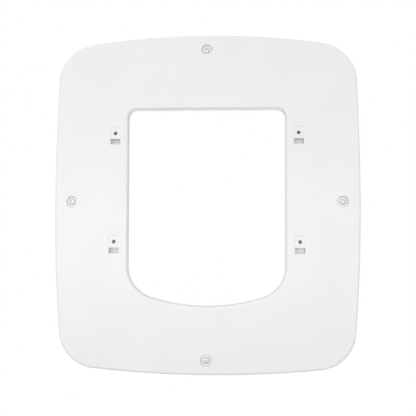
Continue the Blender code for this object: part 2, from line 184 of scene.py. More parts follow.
# The rear frame. It stands in from the outline and out from the window.
REAR_INSET = 0.0020
REAR_OUTSET = 0.0050
REAR_WALL = 0.0022
WEB_Y = FLANGE_Y + 0.0024
REAR_Y = FLANGE_Y + 0.0090
REAR_RIB_Y = REAR_Y - 0.0010
TOWER_RADIUS = 0.0048
TOWER_TAPER = 0.00008
TOWER_SIDES = 60
TOWER_HOLE_CHAMFER = 0.0003
TOWER_RIB_Y = FLANGE_Y + 0.0120
TOWER_RIB_REACH = 0.0078
NUT_SEAT_Y = FLANGE_Y + 0.0050
HALF_SOCKET = 0.00305
SOCKET_FLARE = 0.0004
SOCKET_FLARE_DEPTH = 0.0005

# The foam rings, and the waves in their faces.
FRONT_SEAL = (0.0028, 0.0058)
REAR_SEAL = (0.0032, 0.0082)
FOAM_WAVE_SCALE = 190.0
FOAM_WAVE = 0.00009

# The screws. Each arm of the cross recess reaches RECESS_HALF from the middle, and is widest at the middle.
HEAD_RADIUS = 0.0028
HEAD_HEIGHT = 0.0018
HEAD_SQUARENESS = 3.2
HEAD_SIDES = 96
HEAD_UNDERCUT = 0.00006
THINNEST_HEAD = 0.00005
RECESS_HALF = 0.0015
RECESS_DEPTH = 0.0011
RECESS_ARM = 0.00036
RECESS_ARM_SPREAD = 0.00012
RECESS_ARM_WALL = 0.00016
RECESS_ARM_END = 0.0005
RECESS_CORE = 0.00085
RECESS_CORE_WALL = 0.0002
RECESS_CORE_DEPTH = 0.96
RECESS_ZONE = 0.0016
RECESS_RINGS = 26
DOME_RINGS = 16
SCREW_SPINS = (0.35, 1.15, -0.30, 0.80)
SHANK_CHAMFER = 0.00025
TAIL_TAPER = 0.0003
TAIL_LENGTH = 0.0004
THREAD_CREST = 0.00145
THREAD_ROOT = 0.00118
THREAD_SINK = 0.00002
THREAD_STEPS = 28
THREAD_RUNOUT = 0.9
THREAD_START = 0.0005
THREAD_STOP = 0.0002
CREST_FROM = 0.40
CREST_TO = 0.60
PITCH = 0.0005

# Washers and nuts.
WASHER_SIDES = 72
HALF_HEX_NUT = 0.00275
HEX_NUT_SIDES = 72
HEX_NUT_FACE = HALF_HEX_NUT * 0.94
HEX_NUT_BORE = THREAD_CREST + GAP
HEX_NUT_SLOPE = 0.45
NUT_CHAMFER = 0.00025
SQUARE_NUT_CORNER = 0.0003
SQUARE_NUT_MOUTH = 0.00155
SQUARE_NUT_BORE = 0.0013
SQUARE_NUT_BORE_SIDES = 28


# ---------------------------------------------------------------- outlines, as loops of (x, z)

def meeting_point(first, first_reach, second, second_reach):
    """The point at these distances from two centres, left of the way from the first to the second."""
    dx, dz = second[0] - first[0], second[1] - first[1]
    span = math.hypot(dx, dz)
    along = (first_reach**2 - second_reach**2 + span**2) / (2 * span)
    off = math.sqrt(first_reach**2 - along**2)
    return (first[0] + (along * dx - off * dz) / span, first[1] + (along * dz + off * dx) / span)


def bearing(start, end):
    return math.atan2(end[1] - start[1], end[0] - start[0])


def arc(centre, radius, start, end, steps):
    """Points along an arc, without its end."""
    turns = [start + (end - start) * i / steps for i in range(steps)]
    return [(centre[0] + radius * math.cos(t), centre[1] + radius * math.sin(t)) for t in turns]


def line(start, end, steps):
    """Points along a straight line, without its end."""
    shares = [i / steps for i in range(steps)]
    return [(start[0] + (end[0] - start[0]) * s, start[1] + (end[1] - start[1]) * s) for s in shares]


def whole_loop(half):
    """The right half of a loop, from its bottom to its top, with its mirror image."""
    return half + [(-x, z) for x, z in reversed(half[1:-1])]


def frame_outline(inset):
    """The outline of the front frame, moved in by inset."""
    top = (0.0, TOP_Z - TOP_BOW)
    bottom = (0.0, BOTTOM_Z + BOTTOM_BOW)
    upper = (HALF_WIDTH - UPPER_SIDE_BOW, WIDEST_Z)
    lower = (HALF_WIDTH - LOWER_SIDE_BOW, WIDEST_Z)
    high = meeting_point(upper, UPPER_SIDE_BOW - TOP_CORNER, top, TOP_BOW - TOP_CORNER)
    low = meeting_point(bottom, BOTTOM_BOW - BOTTOM_CORNER, lower, LOWER_SIDE_BOW - BOTTOM_CORNER)
    half = arc(bottom, BOTTOM_BOW - inset, -math.pi / 2, bearing(bottom, low), STEPS[0])
    half += arc(low, BOTTOM_CORNER - inset, bearing(bottom, low), bearing(lower, low), STEPS[1])
    half += arc(lower, LOWER_SIDE_BOW - inset, bearing(lower, low), 0.0, STEPS[2])
    half += arc(upper, UPPER_SIDE_BOW - inset, 0.0, bearing(upper, high), STEPS[3])
    half += arc(high, TOP_CORNER - inset, bearing(upper, high), bearing(top, high), STEPS[4])
    half += arc(top, TOP_BOW - inset, bearing(top, high), math.pi / 2, STEPS[5])
    return whole_loop(half + [(0.0, TOP_Z - inset)])


def window_outline(outset):
    """The outline of the window, moved out by outset."""
    slant = math.atan(-WINDOW_LEAN)
    reach = WINDOW_HALF_WIDTH * math.cos(slant)

    def on_side(z, inside):
        return ((reach - inside - z * math.sin(slant)) / math.cos(slant), z)

    high = on_side(WINDOW_TOP - WINDOW_TOP_CORNER, WINDOW_TOP_CORNER)
    bow = (0.0, WINDOW_BOTTOM + WINDOW_BOTTOM_BOW)
    low = on_side(WINDOW_BOTTOM + WINDOW_BOTTOM_CORNER, WINDOW_BOTTOM_CORNER)
    for _ in range(SETTLE_ROUNDS):
        drop = math.sqrt((WINDOW_BOTTOM_BOW - WINDOW_BOTTOM_CORNER) ** 2 - low[0] ** 2)
        low = on_side(bow[1] - drop, WINDOW_BOTTOM_CORNER)
    low_radius = WINDOW_BOTTOM_CORNER + outset
    high_radius = WINDOW_TOP_CORNER + outset
    low_end = (low[0] + low_radius * math.cos(slant), low[1] + low_radius * math.sin(slant))
    high_end = (high[0] + high_radius * math.cos(slant), high[1] + high_radius * math.sin(slant))
    centre = ((low_end[0] + high_end[0]) / 2, (low_end[1] + high_end[1]) / 2)
    half = arc(bow, WINDOW_BOTTOM_BOW + outset, -math.pi / 2, bearing(bow, low), STEPS[0])
    half += arc(low, low_radius, bearing(bow, low), slant, STEPS[1])
    half += line(low_end, centre, STEPS[2])
    half += line(centre, high_end, STEPS[3])
    half += arc(high, high_radius, slant, math.pi / 2, STEPS[4])
    half += line((high[0], WINDOW_TOP + outset), (0.0, WINDOW_TOP + outset), STEPS[5])
    return whole_loop(half + [(0.0, WINDOW_TOP + outset)])


def edge_distance(loop, angle):
    """How far the loop is from the origin at a bearing."""
    dx, dz = math.cos(angle), math.sin(angle)
    for (x0, z0), (x1, z1) in zip(loop, loop[1:] + loop[:1]):
        side0, side1 = dx * z0 - dz * x0, dx * z1 - dz * x1
        if side0 * side1 > 0 or side0 == side1:
            continue
        share = side0 / (side0 - side1)
        distance = dx * (x0 + (x1 - x0) * share) + dz * (z0 + (z1 - z0) * share)
        if distance > 0:
            return distance
    raise ValueError("the loop doesn't go round the origin")


def circle(place, radius, count):
    turns = [2 * math.pi * i / count for i in range(count)]
    return [(place[0] + radius * math.cos(t), place[1] + radius * math.sin(t)) for t in turns]


def hexagon(place, half_flats, count):
    """Points on a hexagon, at even bearings from the middle of a flat, with half its width across flats."""
    points = []
    for i in range(count):
        t = 2 * math.pi * i / count
        reach = half_flats / math.cos((t + math.pi / 6) % (math.pi / 3) - math.pi / 6)
        points.append((place[0] + reach * math.cos(t), place[1] + reach * math.sin(t)))
    return points


def corner_arc(x, z, radius, start, steps):
    """Points along a quarter circle from a bearing, with its end."""
    turns = [start + math.pi / 2 * i / steps for i in range(steps + 1)]
    return [(x + radius * math.cos(t), z + radius * math.sin(t)) for t in turns]


def rounded_box(place, half, low, high, radius):
    """A rounded rectangle that reaches half to each side of its place, and from low to high."""
    x, z = place
    left, right = x + (radius - half), x + (half - radius)
    low, high = z + (low + radius), z + (high - radius)
    points = corner_arc(right, low, radius, -math.pi / 2, BOX_CORNER_STEPS)
    points += corner_arc(right, high, radius, 0.0, BOX_CORNER_STEPS)
    points += corner_arc(left, high, radius, math.pi / 2, BOX_CORNER_STEPS)
    points += corner_arc(left, low, radius, math.pi, BOX_CORNER_STEPS)
    return points


def pad_loop(place, grow):
    """The outline of a pad and its pocket, as the part above the pocket and the part round it."""
    x, z = place
    half, bend = HALF_PAD + grow, PAD_CORNER + grow
    left, right = x + (bend - half), x + (half - bend)
    low, high = z + (POCKET_LOW - grow + bend), z + (PAD_ABOVE + grow - bend)
    above = [(x + half, z + POCKET_TOP)]
    above += corner_arc(right, high, bend, 0.0, PAD_CORNER_STEPS)
    above += corner_arc(left, high, bend, math.pi / 2, PAD_CORNER_STEPS)
    below = [(x - half, z + POCKET_TOP)]
    below += corner_arc(left, low, bend, math.pi, PAD_CORNER_STEPS)
    below += corner_arc(right, low, bend, 1.5 * math.pi, PAD_CORNER_STEPS)
    return above, below


# ---------------------------------------------------------------- mesh

def quarter_round(wall, across, flat, back, rounding):
    """Profile points, as (size, y), of a rounding from a wall at one size to a flat at one y.

    It lies off the wall in the direction across and off the flat in the direction back, which are 1 or -1. A
    larger number draws it out that way.
    """
    radius, steps = rounding
    points = []
    for i in range(steps + 1):
        t = math.pi / 2 * i / steps
        from_wall, from_flat = radius * (1 - math.cos(t)), radius * (1 - math.sin(t))
        points.append((wall + across * from_wall, flat + back * from_flat))
    return points


def ring(bm, loop, y):
    return [bm.verts.new((x, y, z)) for x, z in loop]


def rings(bm, outline, profile):
    """A ring for each (size, y) of a profile. The outline function gives the loop of a size."""
    return [ring(bm, outline(size), y) for size, y in profile]


def bridge(bm, first, second, closed=True):
    """Faces between two rings of the same length."""
    count = len(first)
    for i in range(count if closed else count - 1):
        j = (i + 1) % count
        bm.faces.new((first[i], first[j], second[j], second[i]))


def chain(bm, rows, closed=True):
    """Faces between each ring and the next."""
    for first, second in zip(rows, rows[1:]):
        bridge(bm, first, second, closed)
    return rows


def cap(bm, outer, holes=(), axes=(0, 2)):
    """Fills a flat loop of vertices, and leaves the holes open. The axes are the two that it lies along."""
    loops = [outer, *holes]
    flat = [vert for loop in loops for vert in loop]
    lines = [[Vector((v.co[axes[0]], v.co[axes[1]], 0.0)) for v in loop] for loop in loops]
    for triangle in tessellate_polygon(lines):
        corners = [flat[i] for i in triangle]
        if len(set(corners)) == 3:
            bm.faces.new(corners)


def finish_mesh(name, bm, body, slot, node, sharp=38.0, weighted=True):
    """Makes the mesh a piece with its slot's material, which rides on a body and replaces a CAD node."""
    bmesh.ops.recalc_face_normals(bm, faces=bm.faces)
    mesh = bpy.data.meshes.new(name)
    bm.to_mesh(mesh)
    bm.free()
    mesh.materials.append(MATERIALS[slot])
    item = bpy.data.objects.new(name, mesh)
    bpy.context.scene.collection.objects.link(item)
    mesh.shade_smooth()
    mesh.set_sharp_from_angle(angle=math.radians(sharp))
    if weighted:
        modifier = item.modifiers.new("flat faces stay flat", "WEIGHTED_NORMAL")
        modifier.mode = "FACE_AREA"
        modifier.weight = 60
        modifier.keep_sharp = True
    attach(item, body)
    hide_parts(node)


def rib_spans(angle, inner, outer, reach, boxes):
    """The parts of a radial rib that lie outside the screws' bosses and the boxes that it meets."""
    spans, start = [], None
    for i in range(RIB_SAMPLES + 1):
        d = inner + (outer - inner) * i / RIB_SAMPLES
        x, z = d * math.cos(angle), d * math.sin(angle)
        inside = any(math.hypot(x - px, z - pz) < reach for px, pz in SCREW_PLACES.values())
        inside = inside or any(a < x < b and c < z < e for a, b, c, e in boxes)
        if not inside and start is None:
            start = d
        if (inside or i == RIB_SAMPLES) and start is not None:
            spans.append((start, d))
            start = None
    return [span for span in spans if span[1] - span[0] > SHORTEST_RIB]


def add_rib(bm, angle, inner, outer, foot, tip, origin=(0.0, 0.0)):
    """A rib that points away from its origin at an angle, with its tip rounded."""
    half = RIB_THICKNESS / 2
    side = half - DRAFT / 2
    section = [(-half, foot)]
    section += quarter_round(-side, 1, tip, -1, RIB_EDGE)
    section += quarter_round(side, -1, tip, -1, RIB_EDGE)[::-1]
    section += [(half, foot)]
    rows = []
    for distance in (inner, (inner + outer) / 2, outer):
        row = []
        for across, y in section:
            x = origin[0] + distance * math.cos(angle) - across * math.sin(angle)
            z = origin[1] + distance * math.sin(angle) + across * math.cos(angle)
            row.append(bm.verts.new((x, y, z)))
        rows.append(row)
    chain(bm, rows)
    bm.faces.new(rows[0])
    bm.faces.new(rows[-1])


def add_radial_ribs(bm, inside_loop, outside_loop, boss, foot, tip, boxes=()):
    """Ribs from one loop to the other, broken where they meet a boss of this radius or a box."""
    for i in range(RIB_COUNT):
        angle = 2 * math.pi * i / RIB_COUNT
        near, far = edge_distance(inside_loop, angle), edge_distance(outside_loop, angle)
        for start, end in rib_spans(angle, near, far, boss - RIB_OVERLAP, boxes):
            add_rib(bm, angle, start, end, foot, tip)


def add_band(bm, span, foot, tip, rounding, round_foot=False):
    """A closed band between two insets of the outline, with its tip rounded, and its foot too if asked."""
    outer, inner = span
    profile = quarter_round(outer, 1, tip, -1, rounding)
    profile += quarter_round(inner, -1, tip, -1, rounding)[::-1]
    if round_foot:
        profile += quarter_round(inner, -1, foot, 1, rounding)
        profile += quarter_round(outer, 1, foot, 1, rounding)[::-1]
    else:
        profile += [(inner, foot), (outer, foot)]
    rows = rings(bm, frame_outline, profile)
    chain(bm, rows + rows[:1])


def add_pin_marks(bm, inner_loop, outer_loop, bays, y):
    """Shallow round marks of ejector pins, each in the middle of a bay between ribs. Returns their loops."""
    loops = []
    for bay in bays:
        angle = 2 * math.pi * (bay + 0.5) / RIB_COUNT
        reach = (edge_distance(inner_loop, angle) + edge_distance(outer_loop, angle)) / 2
        place = (reach * math.cos(angle), reach * math.sin(angle))
        profile = [(radius, y - depth) for radius, depth in PIN_MARK]
        rows = chain(bm, rings(bm, lambda radius: circle(place, radius, PIN_MARK_SIDES), profile))
        cap(bm, rows[-1])
        loops.append(rows[0])
    return loops


# ---------------------------------------------------------------- materials

def fill(node, values):
    """Sets a node's own sockets by name."""
    for name, value in values.items():
        node.inputs[name].default_value = value


def scaled(colour, factor):
    return tuple(c * factor for c in colour)


class Nodes:
    """Lays out a Principled material. Its patterns are in object space, and their scales are per metre."""

    def __init__(self, name):
        self.material = bpy.data.materials.new(name)
        self.material.use_nodes = True
        self.tree = self.material.node_tree
        self.shader = self.tree.nodes["Principled BSDF"]
        self.point = self.add("ShaderNodeTexCoord").outputs["Object"]

    def add(self, kind):
        return self.tree.nodes.new(kind)

    def link(self, source, target):
        self.tree.links.new(source, target)

    def stretched(self, stretch):
        node = self.add("ShaderNodeMapping")
        fill(node, {"Scale": stretch})
        self.link(self.point, node.inputs["Vector"])
        return node.outputs["Vector"]

    def noise(self, scale, detail, rough, stretch=None):
        """Noise, with its scale multiplied along each axis if stretch is given."""
        node = self.add("ShaderNodeTexNoise")
        fill(node, {"Scale": scale, "Detail": detail, "Roughness": rough})
        self.link(self.stretched(stretch) if stretch else self.point, node.inputs["Vector"])
        return node.outputs["Fac"]

    def cells(self, scale):
        node = self.add("ShaderNodeTexVoronoi")
        fill(node, {"Scale": scale})
        self.link(self.point, node.inputs["Vector"])
        return node.outputs["Distance"]

    def spread(self, source, low, high, start=0.0, end=1.0):
        """Maps start to end of a source onto low to high."""
        node = self.add("ShaderNodeMapRange")
        fill(node, {"From Min": start, "From Max": end, "To Min": low, "To Max": high})
        self.link(source, node.inputs["Value"])
        return node.outputs["Result"]

    def maths(self, operation, first, second):
        node = self.add("ShaderNodeMath")
        node.operation = operation
        for socket, value in zip(node.inputs, (first, second)):
            if isinstance(value, float):
                socket.default_value = value
            else:
                self.link(value, socket)
        return node.outputs["Value"]

    def weighted_sum(self, first, first_share, second, second_share):
        return self.maths("ADD", self.maths("MULTIPLY", first, first_share),
                          self.maths("MULTIPLY", second, second_share))

    def colour(self, source, low, low_colour, high, high_colour):
        """The surface's colour, from one where the source is low to another where it is high."""
        node = self.add("ShaderNodeValToRGB")
        stops = ((low, low_colour), (high, high_colour))
        for element, (place, colour) in zip(node.color_ramp.elements, stops):
            element.position = place
            element.color = (*colour, 1.0)
        self.link(source, node.inputs["Fac"])
        self.link(node.outputs["Color"], self.shader.inputs["Base Color"])

    def roughness(self, source, low, high, start=0.0, end=1.0):
        """The surface's roughness, from low where the source is at start to high where it is at end."""
        self.link(self.spread(source, low, high, start, end), self.shader.inputs["Roughness"])

    def bump(self, *heights):
        """Stacked bumps, given as (height, strength, distance in metres)."""
        normal = None
        for height, strength, distance in heights:
            node = self.add("ShaderNodeBump")
            fill(node, {"Strength": strength, "Distance": distance})
            self.link(height, node.inputs["Height"])
            if normal is not None:
                self.link(normal, node.inputs["Normal"])
            normal = node.outputs["Normal"]
        self.link(normal, self.shader.inputs["Normal"])


def white_abs(tint):
    """White ABS with a fine spark-eroded grain, slow unevenness and handling marks."""
    n = Nodes("white_abs")
    fill(n.shader, {"IOR": 1.52, "Specular IOR Level": 0.5, "Subsurface Weight": 0.06,
                    "Subsurface Radius": (1.0, 1.0, 1.0), "Subsurface Scale": 0.0012})
    cloud = n.noise(26.0, detail=3.0, rough=0.5)
    speckle = n.noise(900.0, detail=2.0, rough=0.6)
    n.colour(n.weighted_sum(cloud, 0.8, speckle, 0.2), 0.30, scaled(tint, 0.978), 0.62, tint)
    rub = n.noise(55.0, detail=5.0, rough=0.65, stretch=(1.0, 1.0, 0.35))
    n.roughness(rub, 0.30, 0.40, start=0.35, end=0.68)
    grain = n.noise(3200.0, detail=2.0, rough=0.7)
    flow = n.noise(38.0, detail=2.0, rough=0.5)
    n.bump((flow, 0.10, 0.0006), (grain, 0.16, 0.00006))
    return n.material


def closed_cell_foam(tint):
    """Closed-cell foam: cells, a felted tone and cut skin."""
    n = Nodes("closed_cell_foam")
    fill(n.shader, {"Specular IOR Level": 0.25, "Sheen Weight": 0.25, "Sheen Roughness": 0.6})
    cells = n.cells(2100.0)
    tone = n.noise(160.0, detail=4.0, rough=0.6)
    n.colour(n.weighted_sum(cells, 0.55, tone, 0.6), 0.25, scaled(tint, 0.55), 0.75, scaled(tint, 1.5))
    n.roughness(tone, 0.82, 0.98)
    n.bump((tone, 0.35, 0.0003), (cells, 0.7, 0.00012))
    return n.material


def natural_nylon(tint):
    """Natural nylon, faintly translucent, with a fine moulded grain."""
    n = Nodes("natural_nylon")
    fill(n.shader, {"IOR": 1.53, "Subsurface Weight": 0.15, "Subsurface Radius": (1.0, 0.9, 0.75),
                    "Subsurface Scale": 0.0008})
    cloud = n.noise(420.0, detail=3.0, rough=0.5)
    n.colour(cloud, 0.3, scaled(tint, 0.96), 0.65, tint)
    n.roughness(n.noise(900.0, detail=3.0, rough=0.6), 0.30, 0.44)
    n.bump((n.noise(2600.0, detail=2.0, rough=0.6), 0.12, 0.00005))
    return n.material


def satin_zinc(tint):
    """Satin zinc plate: fine drawn marks, slow spangle and small pits."""
    n = Nodes("satin_zinc")
    fill(n.shader, {"Metallic": 1.0})
    spangle = n.noise(700.0, detail=3.0, rough=0.6)
    n.colour(spangle, 0.3, scaled(tint, 0.86), 0.7, scaled(tint, 0.99))
    drawn = n.noise(1500.0, detail=3.0, rough=0.6, stretch=(1.0, 5.0, 1.0))
    n.roughness(drawn, 0.46, 0.62, start=0.3, end=0.7)
    pits = n.spread(n.cells(2400.0), 0.0, 1.0, end=0.12)
    n.bump((drawn, 0.25, 0.00006), (pits, 0.15, 0.00004))
    return n.material


def blackened_steel(tint):
    """Blackened steel: a thin oxide with worn, paler patches and a sheared grain."""
    n = Nodes("blackened_steel")
    fill(n.shader, {"Metallic": 1.0})
    worn = n.noise(900.0, detail=4.0, rough=0.65)
    n.colour(worn, 0.45, scaled(tint, 0.8), 0.80, scaled(tint, 2.2))
    sheared = n.noise(1300.0, detail=3.0, rough=0.6, stretch=(1.0, 6.0, 1.0))
    n.roughness(sheared, 0.42, 0.66, start=0.3, end=0.7)
    n.bump((sheared, 0.25, 0.00006))
    return n.material


TINTS = {entry["slot"]: tuple(entry["base_color"]) for entry in frame["record"]["materials"]}
MATERIALS = {
    "white_plastic": white_abs(TINTS["white_plastic"]),
    "foam": closed_cell_foam(TINTS["foam"]),
    "nylon": natural_nylon(TINTS["nylon"]),
    "plated_steel": satin_zinc(TINTS["plated_steel"]),
    "black_steel": blackened_steel(TINTS["black_steel"]),
}


# ---------------------------------------------------------------- front frame

def add_counterbore(bm, place):
    """A screw's counterbore, hole and boss. Returns its loops on the face and on the underside."""
    wall = COUNTERBORE - WALL_TAPER
    chamfer = SCREW_HOLE + SCREW_HOLE_CHAMFER
    profile = quarter_round(COUNTERBORE, 1, FACE_Y, MOUTH_STRETCH, MOUTH_ROUND)[::-1]
    profile += [(wall, COUNTERBORE_FLOOR - WASHER_DEPTH)]
    profile += quarter_round(wall, -1, COUNTERBORE_FLOOR, -1, FLOOR_ROOT)
    profile += [(chamfer, COUNTERBORE_FLOOR), (SCREW_HOLE, COUNTERBORE_FLOOR + SCREW_HOLE_CHAMFER)]
    profile += [(SCREW_HOLE, BOSS_END - SCREW_HOLE_CHAMFER), (chamfer, BOSS_END)]
    profile += quarter_round(BOSS_RADIUS, -1, BOSS_END, -1, SMALL_EDGE)[::-1]
    profile += quarter_round(BOSS_RADIUS, 1, UNDERSIDE_Y, 1, BOSS_ROOT)
    rows = chain(bm, rings(bm, lambda radius: circle(place, radius, COUNTERBORE_SIDES), profile))
    return rows[0], rows[-1]


def add_pad(bm, place):
    """A fixing pad with its hole, pocket and nut slot. Returns its loop on the face."""
    def outline(grow):
        above, below = pad_loop(place, grow)
        return above + below

    def pocket_outline(grow):
        above, below = pad_loop(place, grow)
        return below + above[:1]

    x, z = place
    profile = quarter_round(0.0, 1, FACE_Y, 1, PAD_ROUND)[::-1] + [(0.0, PAD_Y)]
    rows = chain(bm, rings(bm, outline, profile))
    split = len(pad_loop(place, 0.0)[0])
    above, below = rows[-1][:split], rows[-1][split:]

    lip = [bm.verts.new((x + HALF_PAD * share, PAD_Y, z + POCKET_TOP)) for share in LIP_SHARES]
    profile = quarter_round(FIXING_HOLE, 1, PAD_Y, 1, SMALL_EDGE)[::-1] + [(FIXING_HOLE, SLOT_FRONT)]
    hole = chain(bm, rings(bm, lambda radius: circle(place, radius, FIXING_HOLE_SIDES), profile))
    cap(bm, above + below[:1] + lip[::-1], [hole[0]])

    profile = quarter_round(-POCKET_TAPER, -1, POCKET_END, -1, POCKET_ROOT)
    walls = chain(bm, [below + above[:1]] + rings(bm, pocket_outline, profile), closed=False)
    cap(bm, walls[-1])
    top_wall = [row[0] for row in walls] + [row[-1] for row in reversed(walls)] + lip
    add_nut_slot(bm, place, top_wall, hole[-1])
    return rows[0]


def add_nut_slot(bm, place, top_wall, hole):
    """A slot for a square nut, from the top wall of a pocket up past the hole, and the hole's blind end."""
    x, z = place

    def corners(up):
        return [bm.verts.new((x + side * SLOT_HALF, y, z + up))
                for side, y in ((-1, SLOT_FRONT), (1, SLOT_FRONT), (1, SLOT_BACK), (-1, SLOT_BACK))]

    opening = corners(POCKET_TOP)
    cap(bm, top_wall, [opening], axes=(0, 1))
    end = corners(SLOT_HALF)
    bm.faces.new(end)
    bm.faces.new((opening[1], opening[2], end[2], end[1]))
    bm.faces.new((opening[3], opening[0], end[0], end[3]))
    cap(bm, [opening[0], opening[1], end[1], end[0]], [hole])
    profile = ((FIXING_HOLE, SLOT_BACK), (FIXING_HOLE, FIXING_HOLE_END))
    blind = chain(bm, rings(bm, lambda radius: circle(place, radius, FIXING_HOLE_SIDES), profile))
    cap(bm, blind[-1])
    cap(bm, [opening[3], opening[2], end[2], end[3]], [blind[0]])


def add_block(bm, place):
    """The block behind a fixing pad. Returns its loop on the underside."""
    def outline(grow):
        low, high = -BLOCK_BELOW - grow, BLOCK_ABOVE + grow
        return rounded_box(place, BLOCK_HALF + grow, low, high, BLOCK_CORNER + grow)

    profile = quarter_round(0.0, 1, UNDERSIDE_Y, 1, BOSS_ROOT)[::-1]
    profile += quarter_round(0.0, -1, BLOCK_END, -1, BLOCK_EDGE)
    rows = chain(bm, rings(bm, outline, profile))
    cap(bm, rows[-1])
    return rows[0]


def block_box(place):
    """Where a radial rib stops at a block, as its left, right, low and high sides."""
    x, z = place
    return (x - BLOCK_HALF + RIB_OVERLAP, x + BLOCK_HALF - RIB_OVERLAP,
            z - BLOCK_BELOW + RIB_OVERLAP, z + BLOCK_ABOVE - RIB_OVERLAP)


def build_front_frame():
    """The shell, with its counterbores, pads, blocks, pin marks, ribs and seal rib."""
    bm = bmesh.new()
    # The outside of the rim, from the panel to the face.
    profile = quarter_round(0.0, 1, PANEL_Y, -1, SMALL_EDGE)[::-1]
    profile += quarter_round(RIM_DRAFT, 1, FACE_Y, 1, RIM_ROUND)
    outer = chain(bm, rings(bm, frame_outline, profile))
    # The window's collar, from the face to its end and back up to the underside.
    profile = quarter_round(0.0, 1, FACE_Y, 1, LIP_ROUND)[::-1]
    profile += quarter_round(0.0, 1, COLLAR_END, -1, SMALL_EDGE)
    profile += quarter_round(COLLAR_THICKNESS, -1, COLLAR_END, -1, SMALL_EDGE)[::-1]
    profile += quarter_round(COLLAR_THICKNESS + DRAFT, 1, UNDERSIDE_Y, 1, WALL_ROOT)
    collar = chain(bm, rings(bm, window_outline, profile))
    # The inside of the rim, from the underside to the panel.
    profile = quarter_round(RIM_THICKNESS + DRAFT, 1, UNDERSIDE_Y, 1, WALL_ROOT)[::-1]
    profile += quarter_round(RIM_THICKNESS, -1, PANEL_Y, -1, SMALL_EDGE)
    inner = chain(bm, rings(bm, frame_outline, profile))
    bridge(bm, inner[-1], outer[0])

    face_holes, underside_holes = [collar[0]], [collar[-1]]
    for place in SCREW_PLACES.values():
        on_face, on_underside = add_counterbore(bm, place)
        face_holes.append(on_face)
        underside_holes.append(on_underside)
    for place in FIXING_PLACES.values():
        face_holes.append(add_pad(bm, place))
        underside_holes.append(add_block(bm, place))
    bays = [bay for bay in range(RIB_COUNT) if bay not in BLOCK_BAYS]
    near, far = window_outline(COLLAR_THICKNESS), frame_outline(SEAL_RIB[1])
    underside_holes += add_pin_marks(bm, near, far, bays, UNDERSIDE_Y)
    cap(bm, outer[-1], face_holes)
    cap(bm, inner[0], underside_holes)

    near, far = window_outline(COLLAR_THICKNESS / 2), frame_outline(sum(SEAL_RIB) / 2)
    boxes = [block_box(place) for place in FIXING_PLACES.values()]
    add_radial_ribs(bm, near, far, BOSS_RADIUS, FRONT_RIB_FOOT, FRONT_RIB_END, boxes)
    add_band(bm, SEAL_RIB, UNDERSIDE_Y - RIB_OVERLAP, SEAL_RIB_END, SMALL_EDGE)
    finish_mesh("moulded_front_frame", bm, "front", "white_plastic", "front_frame")


# ---------------------------------------------------------------- rear frame

def add_tower(bm, place):
    """A screw tower with its nut socket. Returns its loops on the web and on the flange."""
    def round_loop(radius):
        return circle(place, radius, TOWER_SIDES)

    def socket_loop(half_flats):
        return hexagon(place, half_flats, TOWER_SIDES)

    profile = quarter_round(TOWER_RADIUS, 1, WEB_Y, 1, BOSS_ROOT)[::-1]
    profile += quarter_round(TOWER_RADIUS - TOWER_TAPER, -1, TOWER_Y, -1, SMALL_EDGE)
    rows = rings(bm, round_loop, profile)
    rows += rings(bm, socket_loop, ((HALF_SOCKET + SOCKET_FLARE, TOWER_Y),
                                    (HALF_SOCKET, TOWER_Y - SOCKET_FLARE_DEPTH), (HALF_SOCKET, NUT_SEAT_Y)))
    rows += rings(bm, round_loop, ((SCREW_HOLE, NUT_SEAT_Y), (SCREW_HOLE, FLANGE_Y + TOWER_HOLE_CHAMFER),
                                   (SCREW_HOLE + TOWER_HOLE_CHAMFER, FLANGE_Y)))
    chain(bm, rows)
    return rows[0], rows[-1]


def wall_profile(outside):
    """From the flange, over a wall whose outer side is at this size, down to the web."""
    inside = outside + REAR_WALL
    profile = quarter_round(outside, 1, FLANGE_Y, 1, REAR_ROUND)[::-1]
    profile += quarter_round(outside, 1, REAR_Y, -1, WALL_EDGE)
    profile += quarter_round(inside, -1, REAR_Y, -1, WALL_EDGE)[::-1]
    return profile + quarter_round(inside + DRAFT, 1, WEB_Y, 1, WALL_ROOT)


def build_rear_frame():
    """The flange and web, with their two walls, the towers, pin marks and ribs."""
    bm = bmesh.new()
    window_side = chain(bm, rings(bm, window_outline, wall_profile(REAR_OUTSET)))
    outer_side = chain(bm, rings(bm, frame_outline, wall_profile(REAR_INSET)))
    web_holes, flange_holes = [window_side[-1]], [window_side[0]]
    for place in SCREW_PLACES.values():
        on_web, on_flange = add_tower(bm, place)
        web_holes.append(on_web)
        flange_holes.append(on_flange)
    near, far = window_outline(REAR_OUTSET + REAR_WALL), frame_outline(REAR_INSET + REAR_WALL)
    web_holes += add_pin_marks(bm, near, far, range(RIB_COUNT), WEB_Y)
    cap(bm, outer_side[-1], web_holes)
    cap(bm, outer_side[0], flange_holes)

    near, far = window_outline(REAR_OUTSET + REAR_WALL / 2), frame_outline(REAR_INSET + REAR_WALL / 2)
    foot = WEB_Y - RIB_OVERLAP
    add_radial_ribs(bm, near, far, TOWER_RADIUS, foot, REAR_RIB_Y)
    start = TOWER_RADIUS - RIB_OVERLAP
    for place in SCREW_PLACES.values():
        for turn in range(4):
            add_rib(bm, turn * math.pi / 2, start, TOWER_RIB_REACH, foot, TOWER_RIB_Y, place)
    finish_mesh("moulded_rear_frame", bm, "rear", "white_plastic", "rear_frame")


# ---------------------------------------------------------------- seals

def add_seal(name, span, body, node):
    """A foam ring with slow waves in its two faces."""
    low, high = (corner.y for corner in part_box(node))
    bm = bmesh.new()
    add_band(bm, span, low, high, FOAM_EDGE, round_foot=True)
    centre, depth = (low + high) / 2, (high - low) / 2
    for vert in bm.verts:
        share = abs(vert.co.y - centre) / depth
        wave = noise.noise(vert.co * FOAM_WAVE_SCALE) * FOAM_WAVE
        vert.co.y -= abs(wave) * share * (1 if vert.co.y > centre else -1)
    finish_mesh(name, bm, body, "foam", node, weighted=False)


# ---------------------------------------------------------------- fasteners

